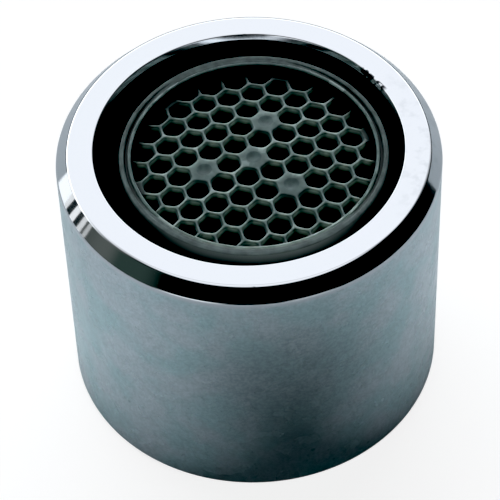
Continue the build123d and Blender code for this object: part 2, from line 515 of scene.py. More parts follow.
class NodeSheet:
    """The nodes of one material or of the sky."""

    def __init__(self, tree: bpy.types.NodeTree, place: Coordinates) -> None:
        """Starts on a tree, whose patterns follow those coordinates."""
        self.tree = tree
        self.place = self.add("ShaderNodeTexCoord").outputs[place.value]

    def add(
        self, kind: str, inputs: dict[str | int, Source] | None = None, **settings: str
    ) -> bpy.types.Node:
        """Adds a node.

        Args:
            kind: Its kind.
            inputs: What its sockets are linked to or set to.
            settings: Its properties.

        Returns:
            The node.
        """
        node = self.tree.nodes.new(kind)
        for key, value in settings.items():
            setattr(node, key, value)
        for key, source in (inputs or {}).items():
            self.feed(node.inputs[key], source)
        return node

    def feed(self, target: Socket, source: Source) -> None:
        """Links a socket to its source, or sets it where the source is a plain value.

        Args:
            target: The socket.
            source: Where its value comes from.
        """
        if isinstance(source, Socket):
            self.tree.links.new(source, target)
        else:
            target.default_value = (*source, 1.0) if target.type == "RGBA" else source

    def noise(self, scale: float, detail: float) -> Socket:
        """Soft random values, about 0 to 1, with that many patches in a metre and finer layers."""
        inputs = {"Vector": self.place, "Scale": scale, "Detail": detail}
        return self.add("ShaderNodeTexNoise", inputs).outputs["Fac"]

    def pattern(self, pattern: Pattern) -> Socket:
        """A random pattern."""
        noise = self.noise(pattern.scale, pattern.detail)
        return self.span(noise, pattern.low, pattern.high, pattern.start, pattern.end)

    def specks(self, specks: Specks) -> Socket:
        """Small scattered spots.

        Args:
            specks: How many and how large they are.

        Returns:
            The spots, 1 inside and 0 outside.
        """
        inputs = {"Vector": self.place, "Scale": specks.scale}
        cells = self.add("ShaderNodeTexVoronoi", inputs).outputs
        draws = self.add("ShaderNodeSeparateColor", {"Color": cells["Color"]}).outputs
        chosen = self.math(Sum.LESS_THAN, draws["Red"], specks.share)
        reach = self.math(Sum.MULTIPLY, draws["Green"], specks.size)
        inside = self.math(Sum.SUBTRACT, reach, cells["Distance"])
        return self.math(Sum.MULTIPLY, self.span(inside, 0.0, specks.edge * specks.size), chosen)

    def along(self, direction: Triple | Vector) -> Socket:
        """How far the place lies along a direction from the origin."""
        inputs = {0: self.place, 1: direction}
        return self.add("ShaderNodeVectorMath", inputs, operation="DOT_PRODUCT").outputs["Value"]

    def height(self) -> Socket:
        """Height of the place: above the floor in metres, or of a direction in the sky."""
        return self.along(UP)

    def math(self, kind: Sum, first: Source, *others: Source) -> Socket:
        """Works out a sum, from the first value to the last.

        Args:
            kind: The kind of sum.
            first: The first value.
            others: The values that follow, if any.

        Returns:
            The result.
        """
        for other in others or (0.0,):
            inputs = {0: first, 1: other}
            first = self.add("ShaderNodeMath", inputs, operation=kind.value).outputs[0]
        return first

    def length(self, first: Socket, second: Socket) -> Socket:
        """Length of the line that goes so far along two axes."""
        squares = [self.math(Sum.MULTIPLY, value, value) for value in (first, second)]
        return self.math(Sum.SQRT, self.math(Sum.ADD, *squares))

    def span(
        self, value: Socket, low: float, high: float, start: float = 0.0, end: float = 1.0
    ) -> Socket:
        """Maps the values from low to high onto those from start to end, and holds them at the ends."""
        inputs = {"Value": value, "From Min": low, "From Max": high, "To Min": start, "To Max": end}
        return self.add("ShaderNodeMapRange", inputs, interpolation_type="SMOOTHSTEP").outputs["Result"]

    def fade(self, value: Socket, reach: Span, start: float = 0.0, end: float = 1.0) -> Socket:
        """Goes from start to end between two places in millimetres."""
        return self.span(value, reach[0] * MM, reach[1] * MM, start, end)

    def blend(self, share: Socket, first: Socket | Colour, second: Socket | Colour) -> Socket:
        """Mixes two colours, with that share of the second."""
        return self.add("ShaderNodeMix", {0: share, 6: first, 7: second}, data_type="RGBA").outputs[2]


class MaterialSheet(NodeSheet):
    """The nodes of one material."""

    def __init__(self, name: str) -> None:
        """Starts a material.

        Args:
            name: Its name.
        """
        self.material = bpy.data.materials.new(name)
        self.material.use_nodes = True
        super().__init__(self.material.node_tree, Coordinates.PIECE)
        self.shader = self.tree.nodes["Principled BSDF"]

    def shade(self, socket: str, source: Source) -> None:
        """Links one of the shader's sockets to its source, or sets it."""
        self.feed(self.shader.inputs[socket], source)

    def edges(self, low: float, high: float) -> Socket:
        """How much a place stands out as an edge: 0 up to the low bend, 1 from the high one."""
        return self.span(self.add("ShaderNodeNewGeometry").outputs["Pointiness"], low, high)

    def bump(self, height: Socket, depth: float, strength: float) -> None:
        """Raises the surface by a pattern, up to that many millimetres."""
        inputs = {"Height": height, "Distance": depth * MM, "Strength": strength}
        self.shade("Normal", self.add("ShaderNodeBump", inputs).outputs["Normal"])


class SkySheet(NodeSheet):
    """The nodes of the light round the object."""

    def __init__(self, name: str) -> None:
        """Starts a sky.

        Args:
            name: Its name.
        """
        self.world = bpy.data.worlds.new(name)
        self.world.use_nodes = True
        self.world.node_tree.nodes.clear()
        super().__init__(self.world.node_tree, Coordinates.SKY)

    def patch(self, patch: SkyPatch) -> Socket:
        """How much of a patch of light shows in each direction.

        Args:
            patch: The patch.

        Returns:
            The share, 0 to 1.
        """
        rise = self.height()
        low, high, soft = patch.low, patch.high, patch.softness
        upright = self.span(rise, sin(radians(low - soft)), sin(radians(low + soft)))
        if high < ZENITH:
            below = self.span(rise, sin(radians(high - soft)), sin(radians(high + soft)), 1.0, 0.0)
            upright = self.math(Sum.MULTIPLY, upright, below)
        aside = radians(patch.bearing)
        level = self.math(Sum.SQRT, self.math(Sum.SUBTRACT, 1.0, self.math(Sum.MULTIPLY, rise, rise)))
        turn = self.math(Sum.DIVIDE, self.along((-sin(aside), cos(aside), 0.0)), level)
        edge = cos(radians(min(180.0, patch.half_width + patch.side_softness)))
        core = cos(radians(max(0.0, patch.half_width - patch.side_softness)))
        return self.math(Sum.MULTIPLY, upright, self.span(turn, edge, core))

    def finish(self, mirrored: Socket, fill: Colour, seen: Colour) -> None:
        """Sets what the sky gives to each kind of light path.

        Args:
            mirrored: What shows in smooth surfaces.
            fill: The even light that falls on dull ones.
            seen: The plain colour behind the object.
        """
        path = self.add("ShaderNodeLightPath").outputs
        light = self.blend(path["Is Glossy Ray"], fill, mirrored)
        shown = self.blend(path["Is Camera Ray"], light, seen)
        glow = self.add("ShaderNodeBackground", {"Color": shown}).outputs[0]
        self.add("ShaderNodeOutputWorld", {"Surface": glow})


@dataclass(frozen=True)
class ChromeFinish:
    """Chrome plating: bright on the outlet rim, a little hazy and pitted on the wall, with painted
    shade on the wall's front and a painted dark line at its foot.
    """

    cool: Colour = (0.45, 0.60, 0.62)
    warm: Colour = (0.56, 0.625, 0.66)
    clouds: Pattern = Pattern(330, 3.0, 0.36, 0.64)
    # dull is the colour of the random mottle and grain, and also of the painted shade patch on the
    # front of the wall.
    dull: Colour = (0.26, 0.32, 0.33)
    mottle: Pattern = Pattern(1700, end=0.17)
    grain: Pattern = Pattern(5200, 1.0, end=0.24)
    # Place, size and strength of the painted shade patch on the front of the wall.
    shade_patch_place: Point = (2.2, 10.6)
    shade_patch_reach: Span = (7.8, 8.8)
    shade_patch_core: float = 0.1
    shade_patch_share: float = 0.64
    shade_patch_back: Span = (-8.0, -5.0)
    pit: Colour = (0.31, 0.385, 0.395)
    coarse_pits: Specks = Specks(1050, 0.22, 0.6)
    fine_pits: Specks = Specks(2000, 0.27, 0.8)
    fine_depth: float = 0.7
    pit_patches: Pattern = Pattern(260, 1.0, 0.4, 0.58)
    pitted_height: Span = (15.0, 2.0)
    least_pitted: float = 0.3
    # foot is a painted dark line along the foot bevel, standing for the mirrored contact shadow.
    foot: Colour = (0.05, 0.06, 0.06)
    foot_shade_height: Span = (0.12, 0.3)
    foot_shade_share: float = 0.85
    rim: Colour = (0.555, 0.578, 0.603)
    rim_height: Span = (17.9, 18.3)
    smudge: Colour = (0.44, 0.465, 0.49)
    smudges: Pattern = Pattern(1100, 4.0, 0.46, 0.7, end=0.6)
    smudge_x: Span = (8.0, 10.5)
    # Near black at the nick in the inner edge: partly a crack, partly a painted dark reflection.
    crack_and_dark_reflection: Colour = (0.02, 0.022, 0.024)
    cracks: Pattern = Pattern(2400, 4.0, 0.46, 0.51)
    crack_place: Triple = (8.0, 5.4, 19.2)
    crack_length: Span = (1.0, 1.4)
    crack_width: Span = (0.1, 0.2)
    wall_roughness: float = 0.25
    rim_roughness: float = 0.06
    uneven: Pattern = Pattern(600, 3.0, start=0.85, end=1.2)
    ripple_scale: float = 900
    ripple_share: float = 0.1

    def material(self) -> Material:
        """Makes the material.

        Returns:
            The material.
        """
        sheet = MaterialSheet(Slot.CHROME.value)
        sheet.shade("Metallic", 1.0)
        on_rim = sheet.fade(sheet.height(), self.rim_height)
        pits = self.pits(sheet, sheet.math(Sum.SUBTRACT, 1.0, on_rim))
        colour = sheet.blend(on_rim, self.wall_colour(sheet, pits), self.rim_colour(sheet))
        sheet.shade("Base Color", colour)
        base = sheet.span(on_rim, 0.0, 1.0, self.wall_roughness, self.rim_roughness)
        sheet.shade("Roughness", sheet.math(Sum.MULTIPLY, base, sheet.pattern(self.uneven)))
        ripple = sheet.math(Sum.MULTIPLY, sheet.noise(self.ripple_scale, detail=3.0), self.ripple_share)
        sheet.bump(sheet.math(Sum.SUBTRACT, ripple, pits), depth=0.014, strength=0.6)
        return sheet.material

    def wall_colour(self, sheet: MaterialSheet, pits: Socket) -> Socket:
        """The clouded plating of the wall, with a painted shade patch on its front and a painted dark
        line at its foot.

        Args:
            sheet: The material's nodes.
            pits: Where the pits are.

        Returns:
            The colour.
        """
        plating = sheet.blend(sheet.pattern(self.clouds), self.cool, self.warm)
        # The random mottle and grain, added to the painted shade patch.
        spots = (sheet.pattern(self.mottle), sheet.pattern(self.grain), self.painted_shade_patch(sheet))
        stained_and_shaded = sheet.blend(sheet.math(Sum.ADD, *spots), plating, self.dull)
        pitted = sheet.blend(pits, stained_and_shaded, self.pit)
        # Painted shade: a dark line along the foot bevel, where it mirrors the contact shadow on the
        # floor.
        edge = sheet.fade(sheet.height(), self.foot_shade_height, self.foot_shade_share, 0.0)
        return sheet.blend(edge, pitted, self.foot)

    def painted_shade_patch(self, sheet: MaterialSheet) -> Socket:
        """A patch of painted shade on the front of the wall, where it mirrors the object's shadow on
        the floor.

        Args:
            sheet: The material's nodes.

        Returns:
            How strong the painted shade is there.
        """
        (middle_x, middle_z), (wide, tall) = self.shade_patch_place, self.shade_patch_reach
        across = sheet.math(Sum.SUBTRACT, sheet.along((1.0 / wide / MM, 0.0, 0.0)), middle_x / wide)
        up = sheet.math(Sum.SUBTRACT, sheet.along((0.0, 0.0, 1.0 / tall / MM)), middle_z / tall)
        patch = sheet.span(sheet.length(across, up), self.shade_patch_core, 1.0, self.shade_patch_share, 0.0)
        front = sheet.fade(sheet.along(BACK), self.shade_patch_back, 1.0, 0.0)
        return sheet.math(Sum.MULTIPLY, patch, front)

    def rim_colour(self, sheet: MaterialSheet) -> Socket:
        """The brighter plating of the rim, with faint smudges and a cracked spot at its inner edge,
        painted near black both for the crack and as a painted dark reflection in the nick there.

        Args:
            sheet: The material's nodes.

        Returns:
            The colour.
        """
        right = sheet.fade(sheet.along(RIGHT), self.smudge_x)
        smudged = sheet.math(Sum.MULTIPLY, right, sheet.pattern(self.smudges))
        place = Vector(self.crack_place)
        along = Vector((-place.y, place.x, 0.0)).normalized()
        inward = Vector((-place.x, -place.y, 0.0)).normalized()
        cracked = sheet.pattern(self.cracks)
        for direction, reach in ((along, self.crack_length), (inward, self.crack_width)):
            off = sheet.math(Sum.SUBTRACT, sheet.along(direction), direction.dot(place) * MM)
            near = sheet.fade(sheet.math(Sum.ABSOLUTE, off), reach, 1.0, 0.0)
            cracked = sheet.math(Sum.MULTIPLY, cracked, near)
        # The cracked spot is painted near black: partly the crack, partly a painted dark reflection in
        # the nick.
        return sheet.blend(cracked, sheet.blend(smudged, self.rim, self.smudge), self.crack_and_dark_reflection)

    def pits(self, sheet: MaterialSheet, on_wall: Socket) -> Socket:
        """Small pits in the plating of the wall, more of them near its foot.

        Args:
            sheet: The material's nodes.
            on_wall: 1 on the wall and 0 on the rim.

        Returns:
            The pits, about 0 to 1.
        """
        fine = sheet.math(Sum.MULTIPLY, sheet.specks(self.fine_pits), self.fine_depth)
        both = sheet.math(Sum.MAXIMUM, fine, sheet.specks(self.coarse_pits))
        low_wall = sheet.fade(sheet.height(), self.pitted_height, self.least_pitted, 1.0)
        return sheet.math(Sum.MULTIPLY, both, sheet.pattern(self.pit_patches), low_wall, on_wall)


@dataclass(frozen=True)
class PlasticFinish:
    """Moulded plastic with a faint mottle, a fine skin and, where given, painted highlights on its
    edges.
    """

    slot: Slot
    deep: Colour
    light: Colour
    clouds: Pattern = Pattern(1500, 3.0, 0.32, 0.68)
    roughness: Span = (0.36, 0.5)
    uneven_scale: float = 2500
    gloss: float = 0.5
    skin_scale: float = 4500
    depth_of_light: float = 0.0
    spread_of_light: Colour = (1.0, 1.0, 0.9)
    painted_edge_highlight: Colour | None = None
    edge_bend: Span = (0.505, 0.56)

    def colour(self, sheet: MaterialSheet) -> Socket:
        """The mottled colour of the plastic, with painted highlights on its edges where given.

        Args:
            sheet: The material's nodes.

        Returns:
            The colour.
        """
        mottled = sheet.blend(sheet.pattern(self.clouds), self.deep, self.light)
        # Painted highlight: edges that stand out are turned lighter.
        if self.painted_edge_highlight:
            mottled = sheet.blend(sheet.edges(*self.edge_bend), mottled, self.painted_edge_highlight)
        return mottled

    def material(self) -> Material:
        """Makes the material.

        Returns:
            The material.
        """
        sheet = MaterialSheet(self.slot.value)
        sheet.shade("Base Color", self.colour(sheet))
        sheet.shade("Specular IOR Level", self.gloss)
        smooth, dull = self.roughness
        sheet.shade("Roughness", sheet.pattern(Pattern(self.uneven_scale, start=smooth, end=dull)))
        if self.depth_of_light:
            sheet.shade("Subsurface Weight", 1.0)
            sheet.shade("Subsurface Radius", self.spread_of_light)
            sheet.shade("Subsurface Scale", self.depth_of_light * MM)
        sheet.bump(sheet.noise(self.skin_scale, detail=3.0), depth=0.012, strength=0.4)
        return sheet.material


@dataclass(frozen=True, kw_only=True)
class DeepPlasticFinish(PlasticFinish):
    """Plastic round deep hollows, with painted light on the upper part of their walls, painted shade
    from some way below its face and inside the rim, and, where given, a painted glow at its front.
    """

    roughness: Span = (0.3, 0.44)
    gloss: float = 0.16
    axis_x: float = 0.0
    face_height: float
    face_bend: float = 0.0
    # wall is a painted light colour for the upper part of the walls of the hollows, standing for light
    # shining through them.
    wall: Colour = (0.25, 0.325, 0.315)
    lit_band_depth: Span = (0.1, 0.18)
    # dark is the painted shade deep in the hollows.
    dark: Colour = (0.004, 0.006, 0.006)
    painted_shade_depth: Span = (0.1, 0.62)
    mouth_radius: float = 0.0
    mouth_reach: Span = (0.7, 0.1)
    rim_height: float = 0.0
    rim_reach: Span = (0.2, 0.08)
    # A painted glow of light at the front, just below the face.
    painted_front_glow: Colour | None = None
    glow_y: Span = (-8.2, -5.0)
    glow_start: float = 0.08
    glow_depth: float = 0.75

    def colour(self, sheet: MaterialSheet) -> Socket:
        """The colour of the plastic at its face and below it, with painted light and painted shade by
        depth and a painted glow at the front.

        Args:
            sheet: The material's nodes.

        Returns:
            The colour.
        """
        across = sheet.math(Sum.SUBTRACT, sheet.along(RIGHT), self.axis_x * MM)
        distance = sheet.length(across, sheet.along(BACK))
        sag = sheet.math(Sum.MULTIPLY, distance, distance, self.face_bend / MM)
        depth = sheet.math(Sum.SUBTRACT, self.face_height * MM, sag, sheet.height())
        # Painted light: below the face the colour turns to the lighter wall colour.
        face_and_lit_band = sheet.blend(sheet.fade(depth, self.lit_band_depth), super().colour(sheet), self.wall)
        # Painted shade: darker with depth below the face.
        shade = sheet.fade(depth, self.painted_shade_depth)
        # Painted shade inside the rim, beside the outermost cells.
        if self.mouth_radius:
            shade = sheet.math(Sum.MAXIMUM, shade, self.mouth_shade(sheet, distance))
        colour = sheet.blend(shade, face_and_lit_band, self.dark)
        # Painted light: a glow at the front, just below the face.
        if self.painted_front_glow:
            colour = sheet.blend(self.painted_glow_share(sheet, depth), colour, self.painted_front_glow)
        return colour

    def mouth_shade(self, sheet: MaterialSheet, distance: Socket) -> Socket:
        """The shade inside the rim, beside the outermost cells.

        Args:
            sheet: The material's nodes.
            distance: How far a place lies from the axis.

        Returns:
            How dark it is.
        """
        near = sheet.fade(distance, tuple(self.mouth_radius - gap for gap in self.mouth_reach))
        levels = tuple(self.rim_height - drop for drop in self.rim_reach)
        return sheet.math(Sum.MULTIPLY, near, sheet.fade(sheet.height(), levels, 1.0, 0.0))

    def painted_glow_share(self, sheet: MaterialSheet, depth: Socket) -> Socket:
        """Where the front of the plastic gets a painted glow of light, just below its face.

        Args:
            sheet: The material's nodes.
            depth: How far a place lies below the face.

        Returns:
            How much of the painted glow shows.
        """
        front = sheet.fade(sheet.along(BACK), self.glow_y, 1.0, 0.0)
        start = sheet.fade(depth, (0.0, self.glow_start))
        end = sheet.fade(depth, (0.0, self.glow_depth), 1.0, 0.0)
        return sheet.math(Sum.MULTIPLY, front, start, end)


@dataclass(frozen=True)
class RubberFinish:
    """Black rubber with a dull, finely grained skin."""

    deep: Colour = (0.012, 0.012, 0.013)
    light: Colour = (0.03, 0.03, 0.031)
    grain_scale: float = 3000
    grain_span: Span = (0.3, 0.7)
    roughness: Span = (0.6, 0.82)

    def material(self) -> Material:
        """Makes the material.

        Returns:
            The material.
        """
        sheet = MaterialSheet(Slot.RUBBER.value)
        grain = sheet.noise(self.grain_scale, detail=4.0)
        share = sheet.span(grain, *self.grain_span)
        sheet.shade("Base Color", sheet.blend(share, self.deep, self.light))
        sheet.shade("Roughness", sheet.span(grain, *self.grain_span, *self.roughness))
        sheet.bump(grain, depth=0.02, strength=0.6)
        return sheet.material


@dataclass(frozen=True)
class FloorFinish:
    """Pale matt paper that glows a little for the camera, so that shadows on it stay faint."""

    near: Colour = (0.86, 0.88, 0.89)
    far: Colour = (0.76, 0.79, 0.80)
    faint: Colour = (0.22, 0.22, 0.22)
    reach: Span = (60.0, 190.0)
    glow: float = 0.86

    def material(self) -> Material:
        """Makes the material.

        Returns:
            The material.
        """
        sheet = MaterialSheet("pale_paper")
        away = sheet.add("ShaderNodeVectorMath", {0: sheet.place}, operation="LENGTH").outputs["Value"]
        seen = sheet.add("ShaderNodeLightPath").outputs["Is Camera Ray"]
        paper = sheet.blend(sheet.fade(away, self.reach), self.near, self.far)
        sheet.shade("Base Color", sheet.blend(seen, paper, self.faint))
        sheet.shade("Emission Color", (1.0, 1.0, 1.0))
        sheet.shade("Emission Strength", sheet.math(Sum.MULTIPLY, seen, self.glow))
        sheet.shade("Roughness", 0.9)
        sheet.shade("Specular IOR Level", 0.1)
        return sheet.material


@dataclass
class Piece(ABC):
    """A piece that is drawn anew in place of one of the solids."""

    node: ClassVar[Node]
    slot: ClassVar[Slot]
    name: ClassVar[str]
    solid: Envelope = field(init=False)

    def __post_init__(self) -> None:
        """Measures the solid."""
        self.solid = Envelope.of(self.node)

    @abstractmethod
    def material(self) -> Material:
        """What the piece is made of."""

    @abstractmethod
    def draft(self) -> MeshDraft:
        """The mesh of the piece."""

    def build(self) -> bpy.types.Object:
        """Makes and dresses the piece, and sets it in the frame in place of its solid.

        Returns:
            The piece.
        """
        piece = self.draft().to_piece(self.name)
        piece.data.materials.append(self.material())
        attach(piece, ROOT_BODY)
        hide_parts(self.node.value)
        return piece


@dataclass
class Housing(Piece):
    """The turned and plated shell, with its inside thread and the worn edge of its outlet."""

    node = Node.HOUSING
    slot = Slot.CHROME
    name = "chromed_housing"
    thread_length: float
    ledge_height: float
    wall: float = 1.0
    thread_pitch: float = 1.0
    thread_depth: float = 0.5413
    thread_fade: float = 0.7
    ridge_root: float = 0.4375
    ridge_crest: float = 0.125
    entry_bevel: float = 0.4
    relief_depth: float = 0.2
    outlet_radius: float = 9.549
    bevel_width: float = 0.75
    bevel_height: float = 0.9
    bevel_round: float = 0.3
    chamfer_width: float = 0.15
    chamfer_depth: float = 0.353
    chamfer_fade: float = 0.4
    edge_round: float = 0.1
    foot_bevel: float = 0.25
    nick_bearing: float = 35.0
    nick_spread: float = 5.0
    nick_reach: float = 0.3
    nick_depth: float = 0.09
    nick_slant: float = 0.7
    nick_mean: float = 0.5
    nick_waves: tuple[Triple, ...] = ((0.3, 95.0, 0.0), (0.2, 211.0, 1.0))
    rows_per_pitch: int = 12
    corner_steps: int = 10
    segments: int = 288

    @property
    def thread_radius(self) -> float:
        """Radius of the wall between the thread's ridges."""
        return self.solid.radius - self.wall

    def material(self) -> Material:
        """The plating."""
        return ChromeFinish().material()

    def corners(self) -> list[Corner]:
        """The corners of the turned outline.

        Returns:
            The corners, from the foot up the outside and down the inside.
        """
        radius = self.solid.radius
        top = self.solid.high
        relief = self.thread_radius + self.relief_depth
        return [
            Corner(radius - self.foot_bevel, 0, 0.06),
            Corner(radius, self.foot_bevel, 0.1),
            Corner(radius, top - self.bevel_height, self.bevel_round),
            Corner(radius - self.bevel_width, top, self.bevel_round),
            Corner(self.outlet_radius + self.chamfer_width, top, self.edge_round),
            Corner(self.outlet_radius, top - self.chamfer_depth),
            Corner(self.outlet_radius, self.ledge_height, 0.08),
            Corner(relief, self.ledge_height, 0.08),
            Corner(relief, self.thread_length, 0.04),
            Corner(self.thread_radius, self.thread_length, 0.04),
            Corner(self.thread_radius, self.entry_bevel, 0.04),
            Corner(self.thread_radius + self.entry_bevel, 0, 0.06),
        ]

    def is_on_thread(self, radius: float) -> bool:
        """Whether a point at that radius lies on the wall that carries the thread."""
        return abs(radius - self.thread_radius) < ON_WALL

    def outline(self) -> list[Point]:
        """The outline, with close rows where the thread is.

        Returns:
            The outline's points.
        """
        step = self.thread_pitch / self.rows_per_pitch
        outline: list[Point] = []
        for start, end in closed_runs(supported(rounded_outline(self.corners(), self.corner_steps))):
            length = dist(start, end)
            on_thread = self.is_on_thread(start[0]) and self.is_on_thread(end[0])
            count = round(length / step) if on_thread and length > 2 * step else 1
            outline += [between(start, end, i / count) for i in range(count)]
        return outline

    def thread_ridge(self, height: float, angle: float) -> float:
        """How far the thread stands in from the wall.

        Args:
            height: Height on the wall.
            angle: Angle round the axis, in radians.

        Returns:
            The ridge's height there.
        """
        phase = (height / self.thread_pitch - angle / (2 * pi)) % 1.0
        ridge = (self.ridge_root - abs(phase - 0.5)) / (self.ridge_root - self.ridge_crest)
        ends = min(height - self.entry_bevel, self.thread_length - height) / self.thread_fade
        return self.thread_depth * clamped(ridge) * clamped(ends)

    def nick(self, radius: float, height: float, angle: float) -> float:
        """How deep the nick in the outlet's inner edge is.

        Args:
            radius: Radius of the point.
            height: Height of the point.
            angle: Angle round the axis, in radians.

        Returns:
            The depth there.
        """
        edge = self.outlet_radius + self.chamfer_width
        near = exp(-((hypot(radius - edge, height - self.solid.high) / self.nick_reach) ** 2))
        off = off_bearing(angle, self.nick_bearing)
        along = exp(-((off / radians(self.nick_spread)) ** 2))
        waves = sum(size * sin(count * off + shift) for size, count, shift in self.nick_waves)
        return self.nick_depth * near * along * max(0.0, self.nick_mean + waves)

    def narrowing(self, radius: float, height: float, angle: float) -> float:
        """How much narrower the chamfer at the outlet's inner edge is than it is at the back.

        Args:
            radius: Radius of the point.
            height: Height of the point.
            angle: Angle round the axis, in radians.

        Returns:
            How far the point moves in.
        """
        widest = self.outlet_radius + self.chamfer_width + self.edge_round
        if height < self.solid.high - self.chamfer_depth or radius > widest:
            return 0.0
        across = clamped((radius - self.outlet_radius) / self.chamfer_width)
        forward = (1 - sin(angle)) / 2
        return self.chamfer_width * self.chamfer_fade * forward * across

    def reshaped(self, radius: float, height: float, angle: float) -> Point:
        """Cuts the thread, the nick and the narrower chamfer.

        Args:
            radius: Radius of the point.
            height: Height of the point.
            angle: Angle round the axis, in radians.

        Returns:
            The radius and height that the point gets.
        """
        if self.is_on_thread(radius) and height < self.thread_length:
            return radius - self.thread_ridge(height, angle), height
        depth = self.nick_slant * self.nick(radius, height, angle)
        return radius + depth - self.narrowing(radius, height, angle), height - depth

    def draft(self) -> MeshDraft:
        """The mesh of the housing.

        Returns:
            The mesh.
        """
        draft = MeshDraft()
        draft.bridge_all(draft.turn(self.outline(), self.segments, self.solid.axis_x, self.reshaped))
        return draft


@dataclass
class SealingWasher(Piece):
    """The rubber ring that the spout presses on."""

    node = Node.WASHER
    slot = Slot.RUBBER
    name = "rubber_washer"
    width: float = 2.3
    edge_round: float = 0.25
    segments: int = 180

    def material(self) -> Material:
        """The rubber."""
        return RubberFinish().material()

    def draft(self) -> MeshDraft:
        """The mesh of the washer.

        Returns:
            The mesh.
        """
        low, high, outer = self.solid.low, self.solid.high, self.solid.radius
        inner = outer - self.width
        places = [(inner, low), (outer, low), (outer, high), (inner, high)]
        corners = [Corner(*place, self.edge_round) for place in places]
        draft = MeshDraft()
        outline = supported(rounded_outline(corners))
        draft.bridge_all(draft.turn(outline, self.segments, self.solid.axis_x))
        return draft


@dataclass
class InsertSleeve(Piece):
    """The tube of the insert: a flange, air windows and a thin lip."""

    node = Node.SLEEVE
    slot = Slot.DARK_PLASTIC
    name = "insert_tube"
    flange_thickness: float = 1.3
    radius: float = 8.749
    wall: float = 0.48
    lip_radius: float = 8.329
    lip_wall: float = 0.27
    lip_taper: float = 1.45
    lip_round: float = 0.08
    groove_depth: float = 0.3
    groove_least: float = 0.015
    groove_margin: float = 0.03
    groove_bearings: tuple[Span, ...] = ((12.0, 62.0), (176.0, 48.0))
    step_height: float = 0.35
    step_radius: float = 7.835
    counterbore_radius: float = 9.229
    counterbore_depth: float = 0.5
    window_low: float = 12.35
    window_high: float = 13.55
    window_count: int = 5
    window_angle: float = 44.0
    segments: int = 180

    def material(self) -> Material:
        """Dark plastic, in shade a little below the lip and lit at the front of it.

        Returns:
            The material.
        """
        return DeepPlasticFinish(
            self.slot,
            deep=(0.08, 0.10, 0.095),
            light=(0.13, 0.165, 0.157),
            depth_of_light=0.35,
            # wall is the colour just below the lip, before the painted shade further down.
            wall=(0.11, 0.13, 0.12),
            face_height=self.solid.high,
            painted_shade_depth=(0.08, 0.3),
            # A painted glow of light at the front of the lip.
            painted_front_glow=(0.38, 0.425, 0.395),
        ).material()

    def corners(self) -> list[Corner]:
        """The corners of the turned outline.

        Returns:
            The corners, from the flange up the outside and down the inside.
        """
        low = self.solid.low
        top = self.solid.high
        bore = self.radius - self.wall
        groove = self.lip_radius - self.lip_wall
        groove_low = top - self.groove_depth
        step_low = groove_low - self.step_height
        return [
            Corner(self.counterbore_radius, low),
            Corner(self.solid.radius, low, 0.15),
            Corner(self.solid.radius, low + self.flange_thickness, 0.1),
            Corner(self.radius, low + self.flange_thickness, 0.12),
            Corner(self.radius, self.window_low, 0),
            Corner(self.radius, self.window_high, 0),
            Corner(self.radius, top - self.lip_taper, 0.3),
            Corner(self.lip_radius, top, self.lip_round),
            Corner(groove, top, self.lip_round),
            Corner(groove, groove_low, 0.1),
            Corner(self.step_radius, groove_low, 0.02),
            Corner(self.step_radius, step_low),
            Corner(bore, step_low),
            Corner(bore, self.window_high, 0),
            Corner(bore, self.window_low, 0),
            Corner(bore, low + self.counterbore_depth),
            Corner(self.counterbore_radius, low + self.counterbore_depth),
        ]

    def reshaped(self, radius: float, height: float, angle: float) -> Point:
        """Makes the groove as deep as it is at that angle.

        Args:
            radius: Radius of the point.
            height: Height of the point.
            angle: Angle round the axis, in radians.

        Returns:
            The radius and height that the point gets.
        """
        drop = self.solid.high - height
        is_on_lip = radius >= self.lip_radius - self.lip_wall / 2
        if is_on_lip or drop >= self.groove_depth + self.groove_margin:
            return radius, height
        openness = 0.0
        for middle, half in self.groove_bearings:
            off = clamped(abs(off_bearing(angle, middle)) / radians(half))
            openness = max(openness, cos(off * pi / 2))
        depth = self.groove_least + (self.groove_depth - self.groove_least) * openness
        return radius, self.solid.high - drop * depth / self.groove_depth

    def window_columns(self) -> list[range]:
        """The columns of the mesh at each air window. One below 0 counts back from the last.

        Returns:
            The columns, window by window.
        """
        half = round(self.window_angle / 720 * self.segments)
        middles = [round(i * self.segments / self.window_count) for i in range(self.window_count)]
        return [range(middle - half, middle + half) for middle in middles]

    def window_rows(self, outline: list[Point], radius: float) -> list[int]:
        """The rows of the outline that pass an air window on one side of the wall.

        Args:
            outline: The outline.
            radius: Radius of that side of the wall.

        Returns:
            The rows, from low to high.
        """
        ends = []
        for height in (self.window_low, self.window_high):
            gaps = [dist(point, (radius, height)) for point in outline]
            ends.append(gaps.index(min(gaps)))
        step = 1 if ends[0] < ends[1] else -1
        return list(range(ends[0], ends[1] + step, step))

    def window_edge(self, rows: list[list[int]], columns: range) -> list[int]:
        """The points round an air window on one side of the wall.

        Args:
            rows: The rows of points beside it, from low to high.
            columns: The columns that are open.

        Returns:
            The points along its sill, up, back along its head and down.
        """
        first, last = columns.start, columns.stop
        sill = [rows[0][column] for column in columns]
        rising = [row[last] for row in rows[:-1]]
        head = [rows[-1][column] for column in range(last, first, -1)]
        falling = [row[first] for row in rows[:0:-1]]
        return sill + rising + head + falling

    def draft(self) -> MeshDraft:
        """The mesh of the sleeve, with its air windows cut.

        Returns:
            The mesh.
        """
        outline = supported(rounded_outline(self.corners()))
        draft = MeshDraft()
        rows = draft.turn(outline, self.segments, self.solid.axis_x, self.reshaped)
        sides = [self.window_rows(outline, r) for r in (self.radius, self.radius - self.wall)]
        windows = self.window_columns()
        opened = {column % self.segments for columns in windows for column in columns}
        for index, row in enumerate(rows):
            after = (index + 1) % len(rows)
            is_cut = any({index, after} <= set(side) for side in sides)
            draft.bridge(row, rows[after], opened if is_cut else ())
        for columns in windows:
            outer, inner = (self.window_edge([rows[i] for i in side], columns) for side in sides)
            draft.bridge(outer, inner)
        return draft


